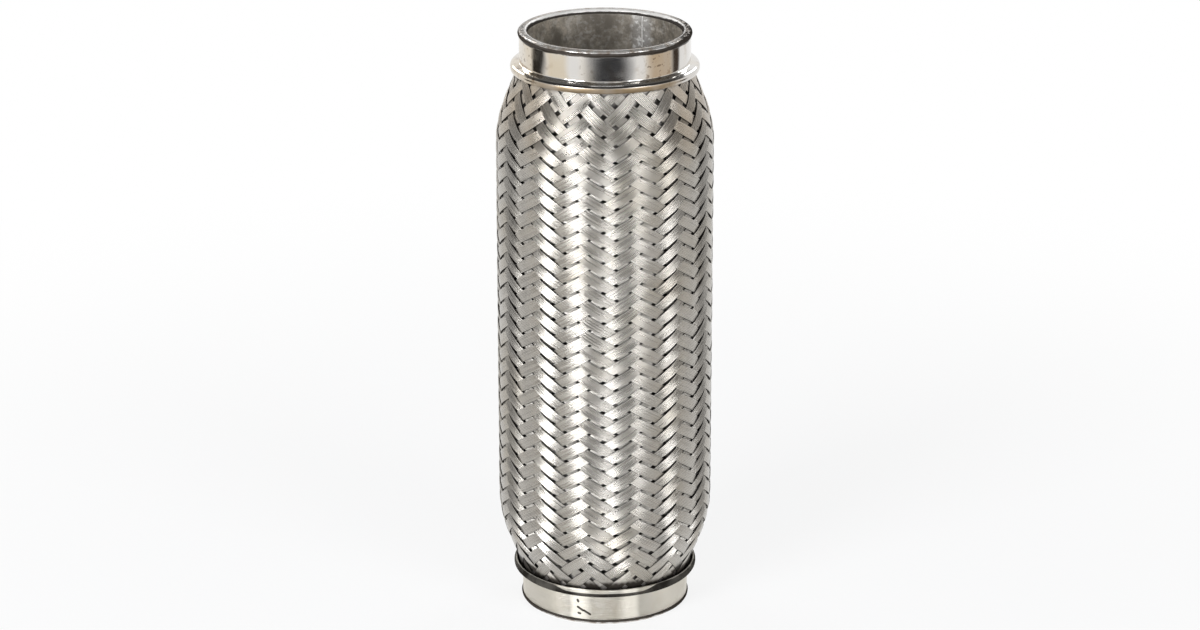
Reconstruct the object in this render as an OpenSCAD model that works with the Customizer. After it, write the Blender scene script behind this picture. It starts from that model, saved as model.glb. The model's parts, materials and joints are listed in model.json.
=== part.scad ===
// Exhaust flex pipe: a braided metal bellows between two flared end caps, welded at the rims.
// It stands on its lower rim. +Z runs along the pipe, and the origin is the middle of its foot.
// Heights called "end height" are counted inward from the nearer rim, so both ends share them.

/* [Pipe] */
// Length from rim to rim
pipe_length = 200; // [150:5:320]
// Bore of the inner sleeves, which take the exhaust pipe
bore_diameter = 50.8; // [40:0.2:76]
// Clearance between the nested layers at the ends
layer_gap = 0.05; // [0.02:0.01:0.1]

/* [Inner sleeves] */
// Wall of a rolled sleeve
sleeve_wall = 0.8; // [0.6:0.1:1.2]
// Length of a sleeve inward of its rim weld
sleeve_length = 17; // [15:0.5:24]
// Width of the butt seam's groove
seam_width = 0.5; // [0.3:0.1:1]
// Depth of the butt seam's groove
seam_depth = 0.2; // [0.1:0.05:0.4]
// Direction of the butt seam around the pipe
seam_angle = 61; // [0:1:359]

/* [Rim welds] */
// Height of a weld bead
weld_height = 1.6; // [1.2:0.1:2.4]
// Rounding of the bead's two shoulders
weld_round = 1.1; // [0.5:0.1:1.1]
// How far the bead stands proud of the collar
weld_proud = 0.4; // [0.2:0.1:0.8]

/* [End caps] */
// Sheet thickness of a cap
cap_wall = 1.0; // [0.8:0.1:1.4]
// Height of the narrow collar inward of the rim weld
collar_height = 8.5; // [6:0.1:12]
// Slope of the shoulder between collar and skirt, from the pipe's axis
shoulder_angle = 80; // [60:1:85]
// Bend radius of the shoulder, at the middle of the sheet
shoulder_bend = 0.9; // [0.8:0.1:1.2]
// Height of the wide skirt before its lip turns in
skirt_height = 0.2; // [0.1:0.1:3]
// Bend radius of the turned lip, at the middle of the sheet
lip_bend = 1.6; // [1.2:0.1:3]
// Angle through which the lip turns in
lip_angle = 30; // [10:1:40]

/* [Bellows] */
// Wall of the corrugated tube
bellows_wall = 0.4; // [0.3:0.05:0.6]
// Height of a full corrugation, outside of crest to inside of root
corrugation_height = 6.05; // [5:0.05:9]
// Spacing aimed at between corrugations
corrugation_pitch = 6; // [5:0.1:6.4]
// Plain tube between the cap's lip and the first corrugation
bellows_lead = 8.4; // [7:0.1:14]

/* [Liner] */
// Thickness of the folded strip
liner_strip = 0.4; // [0.3:0.05:0.6]
// Depth of the folds
liner_depth = 2.1; // [1.6:0.1:3]
// Spacing aimed at between folds
liner_pitch = 7; // [5:0.5:10]
// Running clearance of the liner on the sleeves and in the bellows
liner_gap = 0.1; // [0.05:0.05:0.2]

/* [Braid] */
// Columns of the herringbone around the pipe, always even
braid_columns = 26; // [20:2:36]
// Slope of the wire bundles in the middle of the pipe, from level
bundle_slope = 30.7; // [25:0.1:36]
// Thickness of the pressed braid under the collar
braid_tail = 0.4; // [0.3:0.05:0.6]
// Thickness of the braid where it leaves the cap
braid_neck = 0.65; // [0.5:0.05:1]
// Thickness of the braid over the full corrugations, crest to inside
braid_wall = 1.3; // [1:0.05:2]
// Share of the wall that the valleys between bundles cut away
braid_relief = 0.54; // [0.3:0.02:0.6]
// Clearance between the braid and the bellows
braid_gap = 0.35; // [0.2:0.05:0.6]
// Plain neck between the cap's lip and the swell
swell_lead = 1.7; // [0.5:0.1:4]
// Length of the rounded swell from the neck to the full diameter
swell_length = 22.5; // [15:0.5:30]
// Direction of the herringbone's first low corner around the pipe
braid_phase = -87.5; // [-180:0.5:180]

/* [Hidden] */
$fn = 96;
steel = "silver";
bright_steel = "gainsboro";
dull_steel = "rosybrown";

// Radii of the layers under the collar, from the bore outward
bore_r = bore_diameter / 2;
sleeve_r = bore_r + sleeve_wall;
cuff_r_in = sleeve_r + layer_gap;
cuff_r_out = cuff_r_in + bellows_wall;
tail_r_in = cuff_r_out + 2 * layer_gap;
tail_r_out = tail_r_in + braid_tail;
collar_r_in = tail_r_out + layer_gap;
collar_r_mid = collar_r_in + cap_wall / 2;
collar_r_out = collar_r_in + cap_wall;

// Radii of the layers under the skirt, from the liner outward
liner_r_in = sleeve_r + liner_gap;
liner_r_out = liner_r_in + liner_depth;
root_r_in = liner_r_out + liner_gap;
root_r_mid = root_r_in + bellows_wall / 2;
root_r_out = root_r_in + bellows_wall;
neck_r_in = root_r_out + 3 * layer_gap;
neck_r_out = neck_r_in + braid_neck;
lip_inset = lip_bend * (1 - cos(lip_angle));
skirt_r_mid = neck_r_out + 4 * layer_gap + lip_inset + cap_wall / 2;

// Radii of the full corrugations and of the braid over them
crest_r_out = root_r_in + corrugation_height;
crest_r_mid = crest_r_out - bellows_wall / 2;
braid_r_in = crest_r_out + braid_gap;
braid_r_out = braid_r_in + braid_wall;

// End heights of the cap
shoulder_low = weld_height + collar_height;
shoulder_run = (skirt_r_mid - collar_r_mid - 2 * shoulder_bend * (1 - cos(shoulder_angle)))
    / sin(shoulder_angle);
shoulder_top = shoulder_low + 2 * shoulder_bend * sin(shoulder_angle)
    + shoulder_run * cos(shoulder_angle);
lip_low = shoulder_top + skirt_height;
cap_top = lip_low + lip_bend * sin(lip_angle) + cap_wall / 2;

// End heights of the layers that follow the cap's flare from inside
braid_flare_low = shoulder_low + 0.9 * cap_wall;
braid_flare_top = shoulder_top + 0.5 * cap_wall;
cuff_flare_low = braid_flare_low + 2 * bellows_wall;
cuff_flare_top = braid_flare_top + bellows_wall;
liner_low = cuff_flare_top + 2 * bellows_wall;

// Corrugations between the two plain leads
bellows_low = cap_top + bellows_lead;
corrugation_run = pipe_length - 2 * bellows_low;
corrugation_count = floor(corrugation_run / corrugation_pitch);
corrugation_step = corrugation_run / corrugation_count;
corrugation_bend = corrugation_step / 4;

// Folds of the liner, which starts and ends on an inner land
liner_run = pipe_length - 2 * liner_low;
fold_count = floor(liner_run / liner_pitch);
fold_step = liner_run / (fold_count + 0.5);

// Herringbone: a bundle keeps its length across a column, so it steepens where the braid narrows
half_length = pipe_length / 2;
column_angle = 360 / braid_columns;
bundle_length = 2 * PI * braid_r_out / braid_columns / cos(bundle_slope);
braid_points = 2 * braid_columns;
zigzag_fade = swell_length / 3;
lip_height = half_length - cap_top;
neck_height = half_length - braid_flare_top;
flare_height = half_length - braid_flare_low;
tail_height = half_length - weld_height;
swell_samples = 8;
bend_steps = 4;

function clamp01(x) = min(max(x, 0), 1);
function reversed(list) = [for (i = [len(list) - 1 : -1 : 0]) list[i]];
function arc(center, radius, from, to, steps) =
    [for (i = [0 : steps]) center + radius * [
        cos(from + (to - from) * i / steps),
        sin(from + (to - from) * i / steps)
    ]];

// How far the braid has swollen at an end height, from 0 at the neck to 1
function swell(end_height) = sin(90 * clamp01((end_height - cap_top - swell_lead) / swell_length));
function braid_inside(end_height) = neck_r_in + (braid_r_in - neck_r_in) * swell(end_height);
function braid_outside(end_height) = neck_r_out + (braid_r_out - neck_r_out) * swell(end_height);

// One face of the cap's sheet, as radius and end height. side is 1 outside and -1 inside
function cap_face(side) = concat(
    [[collar_r_mid + side * cap_wall / 2, weld_height]],
    arc([collar_r_mid + shoulder_bend, shoulder_low], shoulder_bend - side * cap_wall / 2,
        180, 180 - shoulder_angle, bend_steps),
    arc([skirt_r_mid - shoulder_bend, shoulder_top], shoulder_bend + side * cap_wall / 2,
        -shoulder_angle, 0, bend_steps),
    arc([skirt_r_mid - lip_bend, lip_low], lip_bend + side * cap_wall / 2,
        0, lip_angle, bend_steps)
);

// The half-round free edge of the cap's lip, from outside to inside
function cap_edge() =
    let (
        center = [skirt_r_mid - lip_inset, lip_low + lip_bend * sin(lip_angle)],
        edge = arc(center, cap_wall / 2, lip_angle, lip_angle + 180, 2 * bend_steps)
    )
    [for (i = [1 : 2 * bend_steps - 1]) edge[i]];

module end_cap() {
    rotate_extrude()
        polygon(concat(cap_face(1), cap_edge(), reversed(cap_face(-1))));
}

module inner_sleeve() {
    difference() {
        translate([0, 0, weld_height])
            cylinder(h = sleeve_length, r = sleeve_r);
        cylinder(h = weld_height + sleeve_length + weld_height, r = bore_r);
        rotate([0, 0, seam_angle])
            translate([0, -seam_width / 2, 0])
                cube([bore_r + seam_depth, seam_width, 2 * (weld_height + sleeve_length)]);
    }
}

// A bead with a flat land on its end, so that the pipe can stand on it
module rim_weld() {
    inside = bore_r + layer_gap;
    outside = collar_r_out + weld_proud;
    rotate_extrude()
        polygon(concat(
            [[inside, weld_height]],
            arc([inside + weld_round, weld_round], weld_round, 180, 270, bend_steps),
            arc([outside - weld_round, weld_round], weld_round, 270, 360, bend_steps),
            [[outside - weld_proud / 3, weld_height]]
        ));
}

// Stands a piece of the lower end on its head at the upper end, with its seam on the same side
module at_upper_end() {
    translate([0, 0, pipe_length])
        mirror([0, 0, 1])
            children();
}

// Crest of the corrugation centred at a height, kept under the braid where that narrows
function crest_at(height) =
    let (near_end = min(height, pipe_length - height) - corrugation_bend)
    max(
        min(crest_r_mid, braid_inside(near_end) - braid_gap - bellows_wall / 2),
        root_r_mid + 2 * corrugation_bend
    );

// One corrugation's face from root to root, without its last point
function corrugation_face(height, side) =
    let (
        half = side * bellows_wall / 2,
        root = root_r_mid + corrugation_bend,
        crest = crest_at(height) - corrugation_bend,
        rising = arc([root, height - corrugation_step / 2], corrugation_bend - half, 180, 90, bend_steps),
        over = arc([crest, height], corrugation_bend + half, -90, 90, 2 * bend_steps),
        falling = arc([root, height + corrugation_step / 2], corrugation_bend - half, -90, -180, bend_steps)
    )
    concat(rising, over, [for (i = [0 : bend_steps - 1]) falling[i]]);

function bellows_face(side) =
    let (
        cuff = (cuff_r_in + cuff_r_out) / 2 + side * bellows_wall / 2,
        root = root_r_mid + side * bellows_wall / 2
    )
    concat(
        [[cuff, weld_height], [cuff, cuff_flare_low], [root, cuff_flare_top]],
        [for (i = [0 : corrugation_count - 1])
            each corrugation_face(bellows_low + (i + 0.5) * corrugation_step, side)],
        [
            [root, pipe_length - bellows_low],
            [root, pipe_length - cuff_flare_top],
            [cuff, pipe_length - cuff_flare_low],
            [cuff, pipe_length - weld_height]
        ]
    );

// One face of the folded strip. Each fold is an inner land, a step out, an outer land and a step in
function liner_face(side) =
    let (
        inner = side > 0 ? liner_r_in + liner_strip : liner_r_in,
        outer = side > 0 ? liner_r_out : liner_r_out - liner_strip,
        step = side * liner_strip / 2
    )
    concat(
        [[inner, liner_low]],
        [for (i = [0 : fold_count - 1])
            let (
                out = liner_low + (i + 0.5) * fold_step - step,
                back = liner_low + (i + 1) * fold_step + step
            )
            each [[inner, out], [outer, out], [outer, back], [inner, back]]],
        [[inner, pipe_length - liner_low]]
    );

// Heights of the weave's rows above mid-length, half a bundle apart, up to the cap's lip
function rows_above(height) =
    height > lip_height - braid_wall ? [] :
    let (
        column_width = 2 * PI * braid_outside(half_length - height) / braid_columns,
        bundle_rise = sqrt(pow(bundle_length, 2) - pow(column_width, 2))
    )
    concat([height], rows_above(height + bundle_rise / 2));

// How far a row swings up and down between the corners of the herringbone, level at the cap's lip
function zigzag(height) =
    let (
        column_width = 2 * PI * braid_outside(half_length - abs(height)) / braid_columns,
        bundle_rise = sqrt(pow(bundle_length, 2) - pow(column_width, 2))
    )
    bundle_rise / 2 * clamp01((lip_height - abs(height)) / zigzag_fade);

// Outer radius of the plain braid at a height above or below mid-length
function braid_skin(height) =
    let (flared = clamp01((flare_height - abs(height)) / (flare_height - neck_height)))
    abs(height) > neck_height
        ? tail_r_out + (neck_r_out - tail_r_out) * flared
        : braid_outside(half_length - abs(height));

// Inner radius of the braid at a height above or below mid-length
function braid_lining(height) =
    let (flared = clamp01((flare_height - abs(height)) / (flare_height - neck_height)))
    abs(height) > neck_height
        ? tail_r_in + (neck_r_in - tail_r_in) * flared
        : braid_inside(half_length - abs(height));

// Depth of the valleys between bundles, which die out inside the cap
function valley(height) =
    let (shown = clamp01((half_length - abs(height) - braid_flare_top) / zigzag_fade))
    braid_relief * shown * (braid_skin(height) - braid_lining(height));

function ring_point(radius, step, height) = [
    radius * cos(braid_phase + step * column_angle / 2),
    radius * sin(braid_phase + step * column_angle / 2),
    half_length + height
];

// A point of the woven face. Even steps are the corners between columns, odd steps their middles,
// and in each column every second row is a bundle's back and the next one a valley
function weave_point(row, height, step) =
    let (
        corner = step % 2 == 0,
        column = floor(step / 2),
        swing = corner ? (column % 2 == 0 ? -1 : 1) : 0,
        sunk = corner ? 0.5 : ((row + column) % 2 == 0 ? 0 : 1),
        at = height + swing * zigzag(height)
    )
    ring_point(braid_skin(at) - sunk * valley(at), step, at);

// Quads between two rings of points, split into triangles and seen clockwise from outside
function ring_faces(low, high) =
    [for (step = [0 : braid_points - 1])
        let (next = (step + 1) % braid_points)
        each [[low + step, high + step, high + next], [low + step, high + next, low + next]]];

module lower_end_cap() {
    color(steel) end_cap();
}

module upper_end_cap() {
    color(bright_steel) at_upper_end() end_cap();
}

module lower_inner_sleeve() {
    color(dull_steel) inner_sleeve();
}

module upper_inner_sleeve() {
    color(dull_steel) at_upper_end() inner_sleeve();
}

module lower_rim_weld() {
    color(steel) rim_weld();
}

module upper_rim_weld() {
    color(bright_steel) at_upper_end() rim_weld();
}

module bellows() {
    color("darkgray")
        rotate_extrude()
            polygon(concat(bellows_face(1), reversed(bellows_face(-1))));
}

module interlock_liner() {
    color("gray")
        rotate_extrude()
            polygon(concat(liner_face(1), reversed(liner_face(-1))));
}

// One closed wall: the woven face outside, a plain face inside and a flat ring at each end
module outer_braid() {
    above = rows_above(0);
    ends = [flare_height, tail_height];
    upper_rows = concat(above, [lip_height, neck_height], ends);
    woven_rows = concat([for (i = [len(upper_rows) - 1 : -1 : 1]) -upper_rows[i]], upper_rows);
    swell_rows = [for (i = [0 : swell_samples])
        lip_height - swell_lead - swell_length * (1 - i / swell_samples)];
    upper_plain = concat(swell_rows, [neck_height], ends);
    plain_rows = concat([for (height = reversed(upper_plain)) -height], upper_plain);
    points = concat(
        [for (row = [0 : len(woven_rows) - 1], step = [0 : braid_points - 1])
            weave_point(row, woven_rows[row], step)],
        [for (height = plain_rows, step = [0 : braid_points - 1])
            ring_point(braid_lining(height), step, height)]
    );
    lining = len(woven_rows) * braid_points;
    last_woven = lining - braid_points;
    last_plain = lining + (len(plain_rows) - 1) * braid_points;
    faces = concat(
        [for (row = [0 : len(woven_rows) - 2])
            each ring_faces(row * braid_points, (row + 1) * braid_points)],
        [for (row = [0 : len(plain_rows) - 2])
            each ring_faces(lining + (row + 1) * braid_points, lining + row * braid_points)],
        ring_faces(last_woven, last_plain),
        ring_faces(lining, 0)
    );
    color("lightgray") polyhedron(points, faces);
}

lower_end_cap();
lower_inner_sleeve();
lower_rim_weld();
upper_end_cap();
upper_inner_sleeve();
upper_rim_weld();
bellows();
interlock_liner();
outer_braid();
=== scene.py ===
import json
import math

import bpy
import numpy as np
from bpy.props import FloatProperty, FloatVectorProperty, IntProperty, PointerProperty
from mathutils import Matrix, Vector


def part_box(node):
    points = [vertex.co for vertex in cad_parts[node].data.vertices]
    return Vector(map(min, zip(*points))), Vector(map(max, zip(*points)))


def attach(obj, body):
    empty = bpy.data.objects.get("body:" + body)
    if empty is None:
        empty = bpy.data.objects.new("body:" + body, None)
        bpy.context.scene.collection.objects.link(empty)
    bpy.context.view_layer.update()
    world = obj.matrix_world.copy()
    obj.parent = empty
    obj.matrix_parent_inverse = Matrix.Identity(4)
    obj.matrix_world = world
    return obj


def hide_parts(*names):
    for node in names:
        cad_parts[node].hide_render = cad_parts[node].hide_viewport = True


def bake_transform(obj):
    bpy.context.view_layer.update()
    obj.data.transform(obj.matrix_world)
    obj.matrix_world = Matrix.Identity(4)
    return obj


bl_info = {
    "name": "Exhaust flex pipe",
    "version": (1, 0, 0),
    "blender": (4, 5, 0),
    "location": "View3D > Sidebar > Flex pipe",
    "description": "Dresses the packed exhaust flex pipe: woven wire, pressed caps, liner and studio",
    "category": "Object",
}

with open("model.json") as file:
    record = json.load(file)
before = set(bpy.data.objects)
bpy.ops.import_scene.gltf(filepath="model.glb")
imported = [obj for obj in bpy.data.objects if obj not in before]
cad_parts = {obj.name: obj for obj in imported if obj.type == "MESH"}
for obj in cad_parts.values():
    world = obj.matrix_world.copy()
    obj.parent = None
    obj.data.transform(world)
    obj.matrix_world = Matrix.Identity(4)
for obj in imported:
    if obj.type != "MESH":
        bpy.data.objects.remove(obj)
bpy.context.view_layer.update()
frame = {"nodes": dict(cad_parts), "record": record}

MM = 0.001
WHITE = (1.0, 1.0, 1.0, 1.0)
LOWER = "lower_end"
UPPER = "upper_end"

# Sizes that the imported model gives
PIPE_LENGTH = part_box("upper_rim_weld")[1].z
WELD_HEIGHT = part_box("lower_rim_weld")[1].z
CAP_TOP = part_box("lower_end_cap")[1].z
BRAID_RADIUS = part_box("outer_braid")[1].y
BORE_RADIUS = frame["record"]["mounts"][0]["dims"]["r_mm"] * MM
HALF_LENGTH = PIPE_LENGTH / 2
PIPE_MIDDLE = Vector((0, 0, HALF_LENGTH))

# Direction of the sleeves' butt seams around the pipe
SEAM_ANGLE = math.radians(61)

# Bands of the finishes and of painted shade along the pipe. Each grows from its first height to its second,
# in millimetres
WIRE_TINT_AND_SHADE_BELOW_CAP = (30.0, 4.0)
DARK_BAND_BELOW_RIM = (3.3, 2.9)
CREASE_TOP_BELOW_RIM = (10.9, 11.2)
CREASE_FOOT_BELOW_RIM = (12.1, 11.7)
TINT_BELOW_RIM = (11.4, 12.0)
SKIRT_ABOVE_FOOT = (10.6, 11.2)
TOES_FROM_END = (0.92, 1.22)

# Height above the foot where the painted black shade of the lower skirt ends, and how much higher it ends at
# the sides
SKIRT_END = 12.55
SKIRT_SIDE_RISE = 1.2

# Stretches of the finishes and of painted light and shade. Each grows from its first distance to its second,
# in millimetres: from the middle of the view, and for the last two from the seam and from the pipe's axis
STRAW_SIDES = (12.0, 25.0)
TINT_FRONT = (26.0, 19.0)
BRIGHT_SIDES = (10.0, 22.0)
SKIRT_SIDES = (12.0, 18.0)
PAINTED_SHADE_SIDES = (19.0, 26.0)
DARK_MIDDLE = (16.0, 4.0)
SEAM_TINT_AND_HIGHLIGHT = (4.5, 0.3)
BEAD_INSIDE = (26.95, 26.35)

# Stretches along X for the first and along Y for the others, in millimetres
LEFT_TO_RIGHT = (-20.0, 20.0)
COLLAR_FRONT = (-20.0, -24.0)
BEAD_FRONT = (-10.0, -20.0)
SLEEVE_BACK = (0.0, 10.0)

# Scuffs on the lower collar: each runs from one point to another, in millimetres across and above the foot
SCUFFS = (
    ((-9.1, 5.8), (-7.4, 4.7)),
    ((-7.0, 4.7), (-5.0, 3.5)),
    ((-9.2, 8.3), (-9.0, 7.8)),
    ((-8.9, 3.6), (-8.4, 3.5)),
)
SCUFF_REACH = 0.5

# Middle and reach of the painted highlight bands on the lower collar, in millimetres on either side
HIGHLIGHT_BAND_MIDDLE = 9.0
HIGHLIGHT_BAND_REACH = 3.6

# Least roughness of the two plain steels inside the braid
BELLOWS_ROUGHNESS = 0.35
LINER_ROUGHNESS = 0.3

# Points across the back of one wire, and how steep the wire's back is at its edges and at its knees
WIRE_POINTS = 4
WIRE_STEEPEST = math.radians(75)
WIRE_KNEE = 0.53 * WIRE_STEEPEST

# Sections of a bundle in one column, and how short of the rim welds it stops, in columns
SECTIONS_PER_COLUMN = 4.5
TAIL_GAP = 0.36

# How squarely a bundle goes over and under, how briefly it is pinched there, and where its first column lies
DIP_SQUARENESS = 1.6
PINCH_SHARPNESS = 10
COLUMN_START = 0.25

# Sections between two random values along a bundle, and how much its width changes
SWAY_STRIDE = 12
WIDTH_STRIDE = 20
ROLL_STRIDE = 9
TONE_STRIDE = 9
WIDTH_CHANGE = 0.05

# Painted shade of a bundle's two outermost points on each side, and where it dips, and over which depths
EDGE_SHADES = (0.75, 0.35)
DIP_SHADES = (0.0, 0.35)
DIP_DEPTHS = (0.3, 0.75)

# Height of the painted shade above a cap's lip, the most that chance adds to it, and its fade, in
# millimetres
LIP_SHADE = 0.4
LIP_SHADE_CHANCE = 2.2
LIP_SHADE_FADE = 2.0

# What the lower lip adds to it: everywhere, on bundles that stray far enough, and at the sides
FOOT_SHADE = 0.7
STRAY_SHADE = 1.8
STRAY_LIMIT = 0.45
SIDE_SHADE = 1.8
SIDE_SHADE_FROM = (19.0, 25.0)

# The photograph's frame in pixels, and the camera's film in millimetres
PHOTO_WIDTH = 1200
PHOTO_HEIGHT = 630
FILM_WIDTH = 36.0

# Softboxes: name, azimuth and elevation in degrees, distance, width and height, and the setting of its power
LAMP_COLOUR = (0.965, 0.985, 1.02)
SOFTBOXES = (
    ("left_softbox", -38, 17, 1.3, (0.5, 0.8), "left_power"),
    ("right_softbox", 42, 17, 1.3, (0.5, 0.8), "right_power"),
    ("overhead_softbox", 5, 75, 1.5, (0.5, 0.5), "top_power"),
    ("low_softbox", -40, 4, 1.0, (0.5, 0.2), "low_power"),
    ("back_left_softbox", -145, 30, 1.3, (0.4, 0.6), "back_power"),
    ("back_right_softbox", 145, 30, 1.3, (0.4, 0.6), "back_power"),
)

# Cards: name, azimuth in degrees, width, lowest and highest edge, colour, and how firm the sides are
CARD_DISTANCE = 0.45
CARD_POINTS = 17
CARD_FADE = 1.2
CARD_TOP_FIRMNESS = 3.0
CARDS = (
    ("front_card", 7, 0.66, (0.031, 0.11), (0.03, 0.031, 0.035), 1.15),
    ("left_card", -99, 0.27, (-0.02, 0.11), (0.03, 0.027, 0.024), 1.5),
    ("cream_card", -66, 0.36, (-0.02, 0.11), (0.92, 0.83, 0.68), 1.5),
    ("brown_card", 80, 0.42, (-0.02, 0.11), (0.62, 0.53, 0.43), 1.5),
    ("right_card", 106, 0.19, (-0.02, 0.11), (0.06, 0.045, 0.035), 1.5),
)

# Top of the room's white walls on the camera's side and behind the pipe, as the height of a direction
FRONT_WALL = 0.12
BACK_WALL = 0.42
WALL_FADE = (0.12, -0.05)
CEILING_STRENGTH = 0.16

# Half the floor's side, and the two distances from the pipe's axis at which it is white by these shares
FLOOR_HALF_SIDE = 6.0
FLOOR_RINGS = (0.1, 0.5)
FLOOR_WHITES = (0.82, 1.0)


class WeaveSettings(bpy.types.PropertyGroup):
    """Sizes of the woven wire."""

    columns: IntProperty(
        name="Columns", description="Herringbone columns around the pipe, always even", default=26, min=8)
    slope: FloatProperty(
        name="Slope", description="Slope of the bundles in the middle, from level",
        default=math.radians(30.7), subtype="ANGLE")
    phase: FloatProperty(
        name="Phase", description="Direction of the first low corner around the pipe",
        default=math.radians(-87.5), subtype="ANGLE")
    wires: IntProperty(name="Wires", description="Wires side by side in one bundle", default=8, min=2)
    cover: FloatProperty(
        name="Cover", description="Share of the spacing that a bundle fills",
        default=0.835, min=0.5, max=0.99)
    wire_height: FloatProperty(
        name="Wire height", description="How far a wire's back stands above the middle of its bundle",
        default=0.20 * MM, unit="LENGTH")
    wire_valley: FloatProperty(
        name="Wire valley", description="Depth of the valley between two wires",
        default=0.185 * MM, unit="LENGTH")
    crown: FloatProperty(
        name="Crown", description="How much lower a bundle's edge wires lie than its middle ones",
        default=0.06 * MM, unit="LENGTH")
    backing: FloatProperty(
        name="Backing", description="Depth of a bundle's flat back below its middle",
        default=0.36 * MM, unit="LENGTH")
    lift: FloatProperty(
        name="Lift", description="How far a bundle rises and dips as it goes over and under",
        default=0.44 * MM, unit="LENGTH")
    loosening: FloatProperty(
        name="Loosening", description="Share by which the bundles narrow beside the caps", default=0.18)
    pinch: FloatProperty(
        name="Pinch", description="Share by which a bundle narrows where it dives", default=0.10)
    roll: FloatProperty(
        name="Roll", description="Most that a bundle's edges rise or dip as it rolls about its own line",
        default=0.16 * MM, unit="LENGTH")
    sway: FloatProperty(
        name="Sway", description="How far a bundle strays sideways, as a share of the spacing", default=0.10)
    swell_lead: FloatProperty(
        name="Swell lead", description="Plain neck between a cap's lip and the swell",
        default=1.7 * MM, unit="LENGTH")
    swell_length: FloatProperty(
        name="Swell length", description="Length of the rounded swell beside each cap",
        default=22.5 * MM, unit="LENGTH")
    neck_radius: FloatProperty(
        name="Neck radius", description="Outside of the braid where it leaves a cap",
        default=29.7 * MM, unit="LENGTH")
    neck_wall: FloatProperty(
        name="Neck wall", description="Thickness of the braid where it leaves a cap",
        default=0.65 * MM, unit="LENGTH")
    full_wall: FloatProperty(
        name="Full wall", description="Thickness of the braid over the bellows",
        default=1.3 * MM, unit="LENGTH")
    tail_radius: FloatProperty(
        name="Tail radius", description="Outside of the braid under the collar",
        default=27.15 * MM, unit="LENGTH")
    tail_wall: FloatProperty(
        name="Tail wall", description="Thickness of the braid under the collar",
        default=0.4 * MM, unit="LENGTH")
    flare_low: FloatProperty(
        name="Flare start", description="Height above the foot where the tail starts to flare",
        default=11.0 * MM, unit="LENGTH")
    flare_top: FloatProperty(
        name="Flare end", description="Height above the foot where the tail has flared",
        default=12.62 * MM, unit="LENGTH")


class FinishSettings(bpy.types.PropertyGroup):
    """Colours of the steels."""

    wire: FloatVectorProperty(
        name="Wire", description="Drawn stainless wire", subtype="COLOR", default=(0.51, 0.487, 0.449))
    polished: FloatVectorProperty(
        name="Polished cap", description="Pressed sheet of the upper cap", subtype="COLOR",
        default=(0.70, 0.68, 0.65))
    satin: FloatVectorProperty(
        name="Satin cap", description="Pressed sheet of the lower cap", subtype="COLOR",
        default=(0.44, 0.418, 0.37))
    tint: FloatVectorProperty(
        name="Heat tint", description="Straw colour beside the welds", subtype="COLOR",
        default=(0.25, 0.186, 0.113))
    stain: FloatVectorProperty(
        name="Stain", description="Blots on the polished cap", subtype="COLOR", default=(0.30, 0.22, 0.15))
    speck: FloatVectorProperty(
        name="Speck", description="Specks on the polished cap", subtype="COLOR", default=(0.16, 0.11, 0.07))
    # This near-black colour paints scuffs and the dark by the welds, and also painted shade: in the braid's
    # gaps, the collar's crease, the lower skirt and the weld's sides
    blackening: FloatVectorProperty(
        name="Soot", description="Dark oxide in the creases and beside the welds", subtype="COLOR",
        default=(0.035, 0.029, 0.024))
    sleeve: FloatVectorProperty(
        name="Sleeve", description="Matt rolled strip", subtype="COLOR", default=(0.55, 0.495, 0.415))
    spatter: FloatVectorProperty(
        name="Spatter", description="Weld spatter beside the seams", subtype="COLOR",
        default=(0.90, 0.88, 0.84))
    # The seam's pale colour also stands in for the highlight along the seam
    seam: FloatVectorProperty(
        name="Seam", description="Pale bead of the sleeves' seams", subtype="COLOR",
        default=(0.92, 0.90, 0.86))
    # The bellows are painted darker than their bright steel, as shade seen through the braid's gaps
    bellows: FloatVectorProperty(
        name="Bellows", description="Thin corrugated sheet", subtype="COLOR", default=(0.34, 0.32, 0.30))
    liner: FloatVectorProperty(
        name="Liner", description="Folded strip", subtype="COLOR", default=(0.42, 0.40, 0.37))
    floor: FloatVectorProperty(
        name="Floor", description="Pale floor", subtype="COLOR", default=(0.86, 0.86, 0.86))


class StageSettings(bpy.types.PropertyGroup):
    """Camera and light."""

    elevation: FloatProperty(
        name="Elevation", description="Camera above the horizon",
        default=math.radians(19.45), subtype="ANGLE")
    distance: FloatProperty(
        name="Distance", description="Camera to the middle of the pipe", default=1.181, unit="LENGTH")
    focal: FloatProperty(
        name="Focal length", description="In pixels of the photograph", default=3516.0)
    middle_x: FloatProperty(
        name="Middle across", description="Where the pipe's middle falls in the photograph, in pixels",
        default=604.93)
    middle_y: FloatProperty(
        name="Middle down", description="Where the pipe's middle falls in the photograph, in pixels",
        default=317.4)
    left_power: FloatProperty(
        name="Left power", description="Watts of the softbox on the left", default=13.6)
    low_power: FloatProperty(
        name="Low power", description="Watts of the low softbox on the left", default=2.6)
    right_power: FloatProperty(
        name="Right power", description="Watts of the softbox on the right", default=8.3)
    back_power: FloatProperty(
        name="Back power", description="Watts of each softbox behind the pipe", default=3.0)
    top_power: FloatProperty(
        name="Top power", description="Watts of the overhead softbox", default=1.0)


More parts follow.
